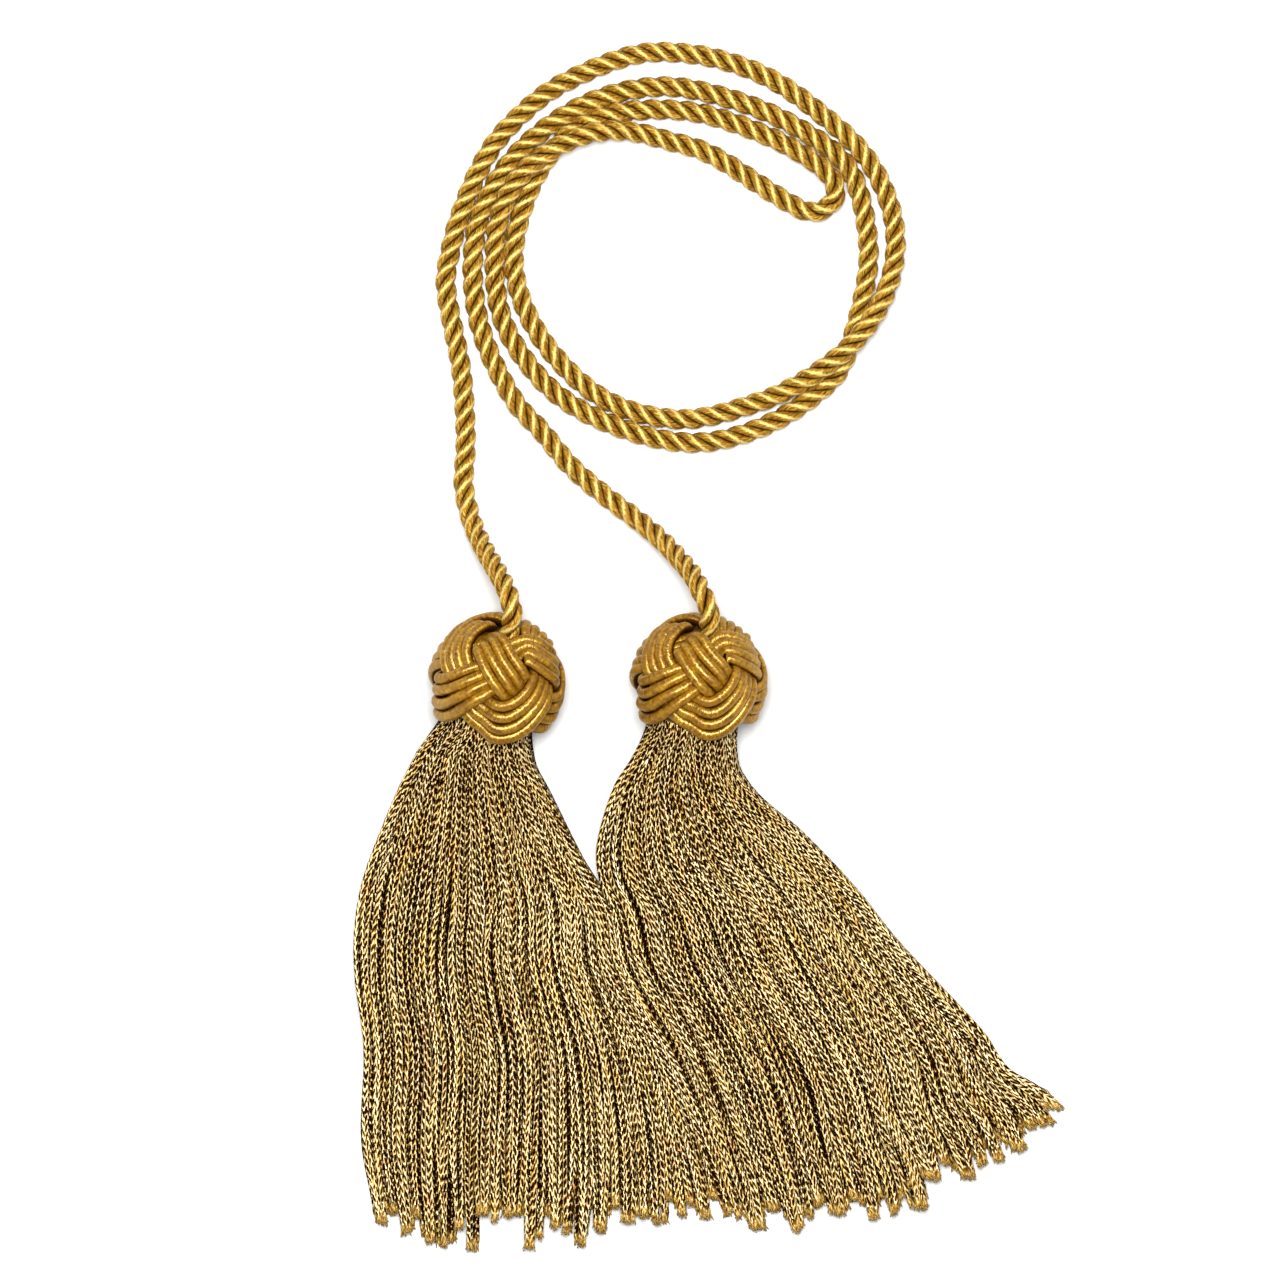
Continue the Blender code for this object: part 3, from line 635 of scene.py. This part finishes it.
def chainette(name, darkness):
    """Yarn knitted as a thin chain: columns of pale stitches with a painted highlight, and eyelets
    between them painted dark as shade.
    """
    shader = Shader(name)
    u, v = shader.uv()

    # Columns of stitches, and the distance of each point from its stitch's eyelet.
    column = shader.math("MULTIPLY", v, WALES)
    wale = shader.math("FLOOR", column)
    odd = shader.math("FLOORED_MODULO", wale, 2.0)
    side = shader.math("MULTIPLY_ADD", odd, 2.0, -1.0)
    uneven = shader.noise(shader.vector(shader.math("MULTIPLY", u, 0.6), wale), 1.0, 1.0)
    along = shader.math("MULTIPLY_ADD", odd, 0.5, shader.math("MULTIPLY_ADD", uneven, 0.9, u))
    inside = shader.math("SUBTRACT", shader.math("FRACT", along), 0.5)
    across = shader.math("SUBTRACT", shader.math("FRACT", column), 0.5)
    lean = shader.math("MULTIPLY", shader.math("MULTIPLY", side, STITCH_LEAN), inside)
    strayed = shader.noise(shader.vector(shader.math("MULTIPLY", u, 1.3), wale), 1.0, 2.0)
    lean = shader.math("MULTIPLY_ADD", shader.math("SUBTRACT", strayed, 0.5), 0.9, lean)
    wide = shader.math("POWER", shader.math("MULTIPLY", shader.math("ADD", across, lean), 2.5), 2.0)
    tall = shader.math("POWER", shader.math("MULTIPLY", inside, 1.25), 2.0)
    from_eyelet = shader.math("SQRT", shader.math("ADD", wide, tall))

    # Relief: fibres, the stitches' own tones and the yarn's, less what lies in shade, which is
    # painted darker.
    fibres = shader.noise(
        shader.vector(shader.math("MULTIPLY", u, 1.6), shader.math("MULTIPLY", v, 9.0)), 1.6, 2.0
    )
    drift = shader.noise(shader.vector(shader.math("MULTIPLY", u, 0.09), odd), 1.0, 2.0)
    rusty = shader.noise(shader.vector(shader.math("MULTIPLY", u, 0.33), wale), 1.0, 1.0)
    chance = shader.random(shader.vector(shader.math("FLOOR", along), wale))

    relief = shader.math("MULTIPLY_ADD", fibres, 0.9, from_eyelet)
    relief = shader.math("MULTIPLY_ADD", chance, 0.5, relief)
    yarn = shader.math("FLOOR", shader.math("DIVIDE", u, YARN_APART))
    own_tone = shader.random(shader.vector(yarn, 7.0))
    relief = shader.math("MULTIPLY_ADD", own_tone, 0.26, relief)
    # darkness lowers the whole relief: painted shade for the yarns that lie under the top layer.
    relief = shader.math("SUBTRACT", relief, darkness + 0.99)
    shade = shader.math("MULTIPLY", shader.attribute("painted_shade"), 0.5)
    relief = shader.math("SUBTRACT", relief, shade)

    # Its two colours, cream and gold, each running from painted shade near black in the eyelets
    # through the yarn's own tone to a painted highlight on the stitches; rust in places, and the
    # core that shows at the frayed tip.
    cream = shader.ramp(relief, (
        (0.36, (20, 7, 1)),
        (0.52, (62, 32, 2)),
        (0.66, (104, 68, 8)),
        (0.80, (148, 108, 32)),
        (0.91, (196, 162, 90)),
        (1.00, (240, 224, 174)),
    ))
    gold = shader.ramp(relief, (
        (0.36, (24, 9, 1)),
        (0.52, (70, 36, 2)),
        (0.66, (110, 68, 5)),
        (0.80, (150, 104, 16)),
        (0.91, (190, 144, 42)),
        (1.00, (228, 194, 100)),
    ))
    golden = shader.math("MULTIPLY_ADD", drift, 4.0, -1.75)
    golden = shader.math("MULTIPLY_ADD", odd, 0.35, golden, clamp=True)
    stitched = shader.mix(golden, cream, gold)
    rust = shader.math("MULTIPLY_ADD", rusty, 5.0, -2.85, clamp=True)
    stitched = shader.mix(rust, stitched, linear((230, 140, 62)), "MULTIPLY")
    strands = shader.noise(
        shader.vector(shader.math("MULTIPLY", u, 0.9), shader.math("MULTIPLY", v, 7.0)), 2.0, 2.0
    )
    frayed = shader.ramp(strands, (
        (0.38, (58, 28, 3)),
        (0.46, (130, 84, 12)),
        (0.54, (184, 136, 36)),
        (0.62, (240, 216, 132)),
    ))
    colour = shader.mix(shader.attribute("tip"), stitched, frayed)
    shader.link(colour, shader.principled.inputs["Base Color"])
    shader.bump(shader.math("MINIMUM", relief, 1.1), strength=0.8, distance=0.22)
    specular = shader.math("MULTIPLY_ADD", relief, 3.0, -2.1, clamp=True)
    set_satin(shader, roughness=0.36, metallic=0.05, specular=specular, sheen=YARN_SHEEN)
    shader.principled.inputs["IOR"].default_value = 1.8
    return shader.material


def plain_floor():
    """The pale surface that it lies on."""
    shader = Shader("plain_floor")
    shader.principled.inputs["Base Color"].default_value = linear(FLOOR_COLOUR)
    shader.principled.inputs["Roughness"].default_value = 0.9
    shader.principled.inputs["Specular IOR Level"].default_value = 0.1
    return shader.material


# ---- Camera

def add_camera():
    """A camera that looks straight down."""
    data = bpy.data.cameras.new("camera")
    data.sensor_width = SENSOR_WIDTH
    data.lens = SENSOR_WIDTH * (CAMERA_HEIGHT - SHOWN_HEIGHT) / PICTURE_WIDTH
    data.clip_end = FARTHEST
    camera = bpy.data.objects.new("camera", data)
    place = np.array((*PICTURE_MIDDLE, CAMERA_HEIGHT)) - TABLE_ORIGIN
    camera.location = place * MM
    bpy.context.scene.collection.objects.link(camera)
    bpy.context.scene.camera = camera


# ---- Cord

def make_cord():
    """Three plies laid round the route, whose ends run on into the heads."""
    curve = smooth_curve(ROUTE, steps=24)
    curve[:, 2] = np.maximum(curve[:, 2], CORD_DIAMETER / 2)
    route = even_points(curve, PLY_STEP)
    inside = np.linspace(CORD_INSIDE, PLY_STEP, END_POINTS)[:, None]
    start = route[0] - unit(route[1] - route[0]) * inside
    inside = np.linspace(PLY_STEP, CORD_INSIDE, END_POINTS)[:, None]
    end = route[-1] + unit(route[-1] - route[-2]) * inside
    line = np.vstack([start, route, end])
    along, across, up = carried_frames(line)
    run = lengths_along(line)
    rng = np.random.default_rng(CORD_SEED)
    plies = []
    for ply in range(CORD_PLIES):
        angle = 2 * math.pi * (run / CORD_PITCH + ply / CORD_PLIES)
        out = across * np.cos(angle)[:, None] + up * np.sin(angle)[:, None]
        swell = 1 + PLY_SWELL * wander(rng, len(line), 60)
        middle = line + out * PLY_OFFSET
        forward = unit(np.gradient(middle, axis=0))
        outward = unit(out - forward * np.sum(out * forward, axis=1)[:, None])
        beside = np.cross(forward, outward)
        u = lengths_along(middle) + PLY_APART * ply
        plies.append(tube(middle, PLY_RADIUS * swell, outward, beside, PLY_SIDES, u))
    piece = build_piece("satin_cord", plies, cord_satin(), "cord")


# ---- Heads

def head_axes(pole):
    """The pole, the direction at right angles to it that faces up most, and the level one."""
    axis = unit(np.array(pole))
    level = unit(np.array((axis[1], -axis[0], 0.0)))
    return axis, np.cross(level, axis), level


def gimp_lines(pole, turn, lower_bights):
    """The closed line of each pass of the knot, about the head's middle."""
    axis, face, level = head_axes(pole)
    u = np.arange(PATH_STEPS * KNOT_BIGHTS) * 2 * math.pi / PATH_STEPS
    down = (1 - np.cos(u)) / 2  # 0 at an upper bight, 1 at a lower one
    down = down + LOWER_ROUNDING * (np.sin(u) * np.minimum(np.cos(u), 0)) ** 2
    polar = UPPER_BIGHTS + (math.radians(lower_bights) - UPPER_BIGHTS) * down
    azimuth = u * KNOT_LEADS / KNOT_BIGHTS + BIGHT_SWEEP * np.sin(2 * u) + math.radians(turn)
    middle = (
        np.cos(polar)[:, None] * axis
        + (np.sin(polar) * np.cos(azimuth))[:, None] * face
        + (np.sin(polar) * np.sin(azimuth))[:, None] * level
    )
    sideways = unit(np.cross(middle, np.roll(middle, -1, axis=0) - np.roll(middle, 1, axis=0)))
    spacing = UPPER_SPACING + (LOWER_SPACING - UPPER_SPACING) * down
    radius = KNOT_RADIUS + KNOT_LIFT * np.tanh(2 * np.sin(2 * u)) / math.tanh(2)
    lines = []
    for k in range(GIMP_PASSES):
        aside = (k - (GIMP_PASSES - 1) / 2) * spacing[:, None]
        place = (middle * np.cos(aside) + sideways * np.sin(aside)) * radius[:, None]
        below = np.minimum(place @ axis, 0)
        lines.append(place + (LOWER_STRETCH - 1) * below[:, None] * axis)
    return lines


def closed_wander(rng, count, lowest, highest):
    """Smooth random waves that join up round a closed line."""
    x = 2 * math.pi * np.arange(count) / count
    total = np.zeros(count)
    for wave in range(lowest, highest):
        total += rng.normal() * np.sin(wave * x + 2 * math.pi * rng.random())
    return total / math.sqrt(highest - lowest)


def make_head(side, x, y, pole, turn, lower_bights, gimp, ball):
    """The strands of the knot, and the ball inside it."""
    rng = np.random.default_rng(HEAD_SEEDS[side])
    middle = np.array((x, y, HEAD_HEIGHT))
    axis = head_axes(pole)[0]
    passes = []
    for k, place in enumerate(gimp_lines(pole, turn, lower_bights)):
        out = unit(place)
        forward = unit(np.roll(place, -1, axis=0) - np.roll(place, 1, axis=0))
        beside = unit(np.cross(forward, out))
        place = place + beside * GIMP_ASTRAY * closed_wander(rng, len(place), 6, 34)[:, None]
        place = place + out * GIMP_UNEVEN * closed_wander(rng, len(place), 6, 34)[:, None]
        low = np.clip(FATTER_ABOVE - place @ axis / KNOT_RADIUS, 0, 1)
        swell = GIMP_SWELL * closed_wander(rng, len(place), 20, 90)
        radius = GIMP_RADIUS * (1 + GIMP_FATTER * low + swell)
        steps = np.linalg.norm(np.roll(place, -1, axis=0) - place, axis=1)
        u = np.concatenate([[0], np.cumsum(steps)[:-1]]) + PASS_APART * k
        rings = tube(middle + place, radius, np.cross(beside, forward), beside, GIMP_SIDES, u)
        rings["closed"] = True
        # Painted shade: darker on each strand's sides and inner side, where the creases between
        # strands are.
        angle = 2 * math.pi * np.arange(GIMP_SIDES) / GIMP_SIDES
        rings["painted_shade"] = np.clip((0.45 - np.cos(angle)) / 0.5, 0, 1)[None, :]
        passes.append(rings)
    build_piece("gimp_knot_" + side, passes, gimp, "head_" + side)
    add_ball(side, middle, ball)


def add_ball(side, middle, ball):
    """What the knot is worked over: it shows only as darkness between the strands."""
    latitude = np.linspace(BALL_HOLE, math.pi - BALL_HOLE, BALL_RINGS)
    line = middle + np.outer(np.cos(latitude), UP) * BALL_RADIUS
    radii = np.sin(latitude) * BALL_RADIUS
    across = np.tile((1.0, 0.0, 0.0), (BALL_RINGS, 1))
    back = np.tile((0.0, -1.0, 0.0), (BALL_RINGS, 1))
    rings = tube(line, radii, across, back, BALL_SIDES, latitude)
    build_piece("knot_ball_" + side, [rings], ball, "head_" + side)


# ---- Skirts

def skirt_lines(outline):
    """The skirt's two sides and its hem, each as even points on the surface."""
    lines = {}
    for key in ("left", "right", "hem"):
        curve = smooth_curve([(x, y, 0.0) for x, y in outline[key]], steps=16)
        lines[key] = even_points(curve, lengths_along(curve)[-1] / (EDGE_POINTS - 1))
    return lines


def at_share(line, share):
    """The points at shares of the line's length from 0 to 1, for a line of even points."""
    place = np.linspace(0, 1, len(line))
    return np.stack([np.interp(share, place, line[:, k]) for k in range(3)], axis=-1)


def skirt_height(along):
    """Thickness of the skirt's middle, on a smooth line through the stations."""
    curve = smooth_curve([(a, h, 0.0) for a, h in SKIRT_STATIONS], steps=12)
    return np.interp(along, curve[:, 0], curve[:, 1])


def yarn_line(lines, head, across, depth, rank, pull, crowding, count, rng):
    """A yarn's middle line from inside the head to its end in the hem."""
    middle, axis, face, level = head
    along = np.linspace(YARN_START, 1.0, YARN_POINTS)
    left = at_share(lines["left"], along)
    right = at_share(lines["right"], along)
    width = np.linalg.norm(right - left, axis=1)
    crowd = np.interp(along, crowding[:, 0], crowding[:, 1])
    place = 1 - (1 - across) ** crowd
    room = crowd * (1 - across) ** (crowd - 1) * width / count
    drift = YARN_DRIFT * wander(rng, len(along), 4) + YARN_WAVER * wander(rng, len(along), 14)
    drift = drift * (1 - 0.7 * depth)
    gathered = pull * np.clip((along - GATHER_FROM) / (1 - GATHER_FROM), 0, 1) ** 1.5
    place = place + (drift * np.minimum(1, along * 2) + gathered) / width
    inset = EDGE_INSET * depth / width
    place = inset + (1 - 2 * inset) * np.clip(place, 0, 1)
    points = left + (right - left) * place[:, None]
    straight = lines["hem"][0] + (lines["hem"][-1] - lines["hem"][0]) * place[:, None]
    points = points + (at_share(lines["hem"], place) - straight) * (along**3)[:, None]

    # Where the layer's yarns crowd together, only some of them lie on top.
    aside = 2 * place - 1
    dome = SIDE_THICKNESS + (1 - SIDE_THICKNESS) * np.sqrt(np.maximum(1 - aside**2, 0))
    thickness = skirt_height(along) * dome
    buried = np.clip((rank - room / YARN_PITCH + 0.05) / 0.10, 0, 1)
    buried = buried * buried * (3 - 2 * buried)
    height = thickness * (1 - depth) - YARN_WIDTH * (0.5 + YARN_SINK * buried)
    height = height - YARN_SETTLE * rng.random() + YARN_BILLOW * wander(rng, len(along), 7)
    points[:, 2] = np.maximum(height, YARN_WIDTH / 2)

    # The root comes out from under the knot's lowest strands.
    start = 2 * (1 - (1 - across) ** crowd[0]) - 1
    chord = math.sqrt(max(1 - start**2, LEAST_CHORD))
    rise = (1 - 1.8 * depth) * ROOT_RISE - 0.10 * buried[0]
    roots = [
        middle - axis * (NECK_PLANE + beyond)
        + level * (start * NECK_HALF_WIDTH * ROOT_SPREAD)
        + face * (rise * chord * NECK_HALF_HEIGHT)
        for beyond in ROOT_PLACES
    ]
    return np.vstack([roots, points])


def cut_to_tuft(line, tip_y, short):
    """The line ended at the height of its tuft's tips, less short."""
    direction = unit(line[-1] - line[-2])
    reach = np.linalg.norm(line[-1] - line[-2])
    longer = (line[-1][1] - tip_y) / max(-direction[1], 0.3) - short
    if longer < 0:
        line[-1] = line[-1] + direction * max(longer, -0.9 * reach)
        return line
    end = line[-1] + direction * np.clip(longer, 0.3, MOST_LONGER)
    end[2] = max(YARN_WIDTH / 2, end[2] - DROOP * longer)
    return np.vstack([line, end])


def tuft_at(outline, x):
    """The middle and the tips' y of the tuft that a yarn ending at x belongs to."""
    rows = np.array(outline["tufts"])
    row = rows[np.argmin(np.abs(rows[:, 0] - x) - rows[:, 1])]
    return row[0], row[2]


def make_yarn(line, width, step, sides, number, underside_shade, rng):
    """One knitted yarn: rings that sink in at its eyelets and flare at its frayed end."""
    line = even_points(smooth_curve(line, steps=6), step)
    forward = unit(np.gradient(line, axis=0))
    beside = unit(np.cross(forward, UP))
    over = np.cross(beside, forward)
    run = lengths_along(line)
    turned = rng.random() + 0.12 * wander(rng, len(line), 3)
    stitches = run / (STITCH * rng.uniform(0.92, 1.08)) + rng.random()
    angle = 2 * math.pi * np.arange(sides) / sides
    column = (angle[None, :] / (2 * math.pi) + turned[:, None]) * WALES
    odd = np.floor(column) % 2
    inside = (stitches[:, None] + 0.5 * odd) % 1.0 - 0.5
    aside = column % 1.0 - 0.5 + (2 * odd - 1) * STITCH_LEAN * inside
    eyelet = np.exp(-((aside * 2.6) ** 2) - (inside * 1.5) ** 2)
    left = run[-1] - run
    fray = np.clip(1 - left / TIP_LENGTH, 0, 1)
    ragged = 1 + 0.35 * (rng.random((len(line), sides)) - 0.4) * (fray[:, None] > 0)
    close = 1 + 0.15 * fray - 0.55 * np.clip(1 - left / 1.2, 0, 1)
    radii = width / 2 * (1.06 - EYELET_DEPTH * eyelet) * close[:, None] * ragged
    made = tube(line, radii, over, -beside, sides, stitches + YARN_APART * number, turned)
    made["tip"] = (np.clip(fray * 1.8 + 0.15 * rng.normal(), 0, 1) * (fray > 0))[:, None]
    # Painted shade: darker where the yarns crowd near the neck, a little lighter at the hem, and on
    # each yarn's sides and underside.
    stations, shades = zip(*SHUT_IN)
    shut_in = np.interp(run / run[-1], stations, shades)
    beneath = underside_shade * np.clip(0.60 - np.cos(angle), 0, 0.6)[None, :] / 0.6
    made["painted_shade"] = beneath + shut_in[:, None]
    return [made] + tip_hairs(line[-1], forward[-1], beside[-1], over[-1], number, rng)


def tip_hairs(end, forward, beside, over, number, rng):
    """Loose ends that splay from a yarn's cut tip."""
    hairs = []
    for k in range(TIP_HAIRS):
        turn = 2 * math.pi * (k + rng.random()) / TIP_HAIRS
        out = beside * math.cos(turn) + over * math.sin(turn) * 0.6
        splay = rng.uniform(0.1, 0.9)
        length = rng.uniform(1.0, 2.4)
        root = end - forward * 1.4 + out * YARN_WIDTH * 0.28
        bend = root + forward * length * 0.6 + out * splay * 0.3
        tip = bend + forward * length * 0.6 + out * splay * 0.7
        line = np.array([root, bend, tip])
        line[:, 2] = np.maximum(line[:, 2], HAIR_RADIUS)
        radii = HAIR_RADIUS * np.array((1.0, 1.1, 0.7))
        across = np.tile(np.cross(forward, out), (3, 1))
        up = np.tile(out, (3, 1))
        u = np.arange(3) * 0.9 + HAIR_APART * k + YARN_APART * number
        hair = tube(line, radii, unit(across), up, sides=4, u=u, turned=0.37 * k)
        hair["tip"] = 1.0
        hairs.append(hair)
    return hairs


def make_skirt(side, outline, x, y, pole, cloths):
    """The yarns of one skirt, a piece for each layer and two for the top one."""
    rng = np.random.default_rng(SKIRT_SEEDS[side])
    lines = skirt_lines(outline)
    head = (np.array((x, y, HEAD_HEIGHT)), *head_axes(pole))
    hem_length = lengths_along(lines["hem"])[-1]
    crowding = np.array(CROWDING)[:, (0, 1 if side == "left" else 2)]
    number = 0
    for layer, (name, spacing, depth, wide, step, sides, pull, shorter) in enumerate(SKIRT_LAYERS):
        yarns = []
        count = round(hem_length / spacing)
        for k in range(count):
            number += 1
            across = (k + 0.5 + rng.uniform(-0.15, 0.15)) / count
            rank = (k * GOLDEN_SHARE) % 1.0
            end_x = at_share(lines["hem"], across)[0]
            middle_x, tip_y = tuft_at(outline, end_x)
            gather = (middle_x - end_x) * pull
            line = yarn_line(lines, head, across, depth, rank, gather, crowding, count, rng)
            line = cut_to_tuft(line, tip_y, shorter * rng.random())
            # The edge yarns get less painted shade beneath.
            underside_shade = EDGE_UNDERSIDE_SHADE if min(k, count - 1 - k) < EDGE_YARNS else 1.0
            yarns.append(make_yarn(line, wide, step, sides, number, underside_shade, rng))
        cloth = cloths[min(layer, 1)]
        node = "skirt_" + side
        half_way = len(yarns) // 2 if layer == 0 else len(yarns)
        parts = {"a": yarns[:half_way], "b": yarns[half_way:]}
        for letter, group in parts.items():
            if group:
                tubes = [rings for yarn in group for rings in yarn]
                build_piece(f"{side}_yarns_{name}_{letter}", tubes, cloth, node)


# ---- Stage

def add_floor():
    """A flat surface under it, as part of the stage."""
    data = bpy.data.meshes.new("floor")
    half = FLOOR_HALF
    corners = [(-half, -half, 0), (half, -half, 0), (half, half, 0), (-half, half, 0)]
    data.from_pydata(corners, [], [(0, 1, 2, 3)])
    data.materials.append(plain_floor())
    floor = bpy.data.objects.new("floor", data)
    bpy.context.scene.collection.objects.link(floor)


def add_light():
    """A soft square light high above, which faces LIGHT_AIM."""
    data = bpy.data.lights.new("key", "AREA")
    data.shape = "SQUARE"
    data.size = LIGHT_SIZE
    data.energy = LIGHT_POWER
    data.color = LIGHT_COLOUR
    light = bpy.data.objects.new("key", data)
    light.location = LIGHT_PLACE
    aim = np.array(LIGHT_AIM) - np.array(LIGHT_PLACE)
    light.rotation_euler = (
        math.atan2(math.hypot(aim[0], aim[1]), -aim[2]),
        0.0,
        math.atan2(aim[1], aim[0]) - math.pi / 2,
    )
    bpy.context.scene.collection.objects.link(light)


def add_world():
    """Even white light from all sides."""
    world = bpy.data.worlds.new("studio")
    world.use_nodes = True
    background = world.node_tree.nodes["Background"]
    background.inputs["Color"].default_value = (1.0, 1.0, 1.0, 1.0)
    background.inputs["Strength"].default_value = SKY_STRENGTH
    bpy.context.scene.world = world


def main():
    """Build the pieces and the stage."""
    add_camera()
    make_cord()
    gimp = gimp_satin()
    ball = ball_cloth()
    # The under layers' yarn is painted darker, as painted shade beneath the top layer.
    cloths = (chainette("chainette_top", 0.0), chainette("chainette_under", 0.45))
    outlines = {"left": LEFT_SKIRT, "right": RIGHT_SKIRT}
    for side, x, y, pole, turn, lower_bights in HEADS:
        make_head(side, x, y, pole, turn, lower_bights, gimp, ball)
        make_skirt(side, outlines[side], x, y, pole, cloths)
    add_floor()
    add_world()
    add_light()
    bpy.context.scene.view_settings.view_transform = "Standard"


main()
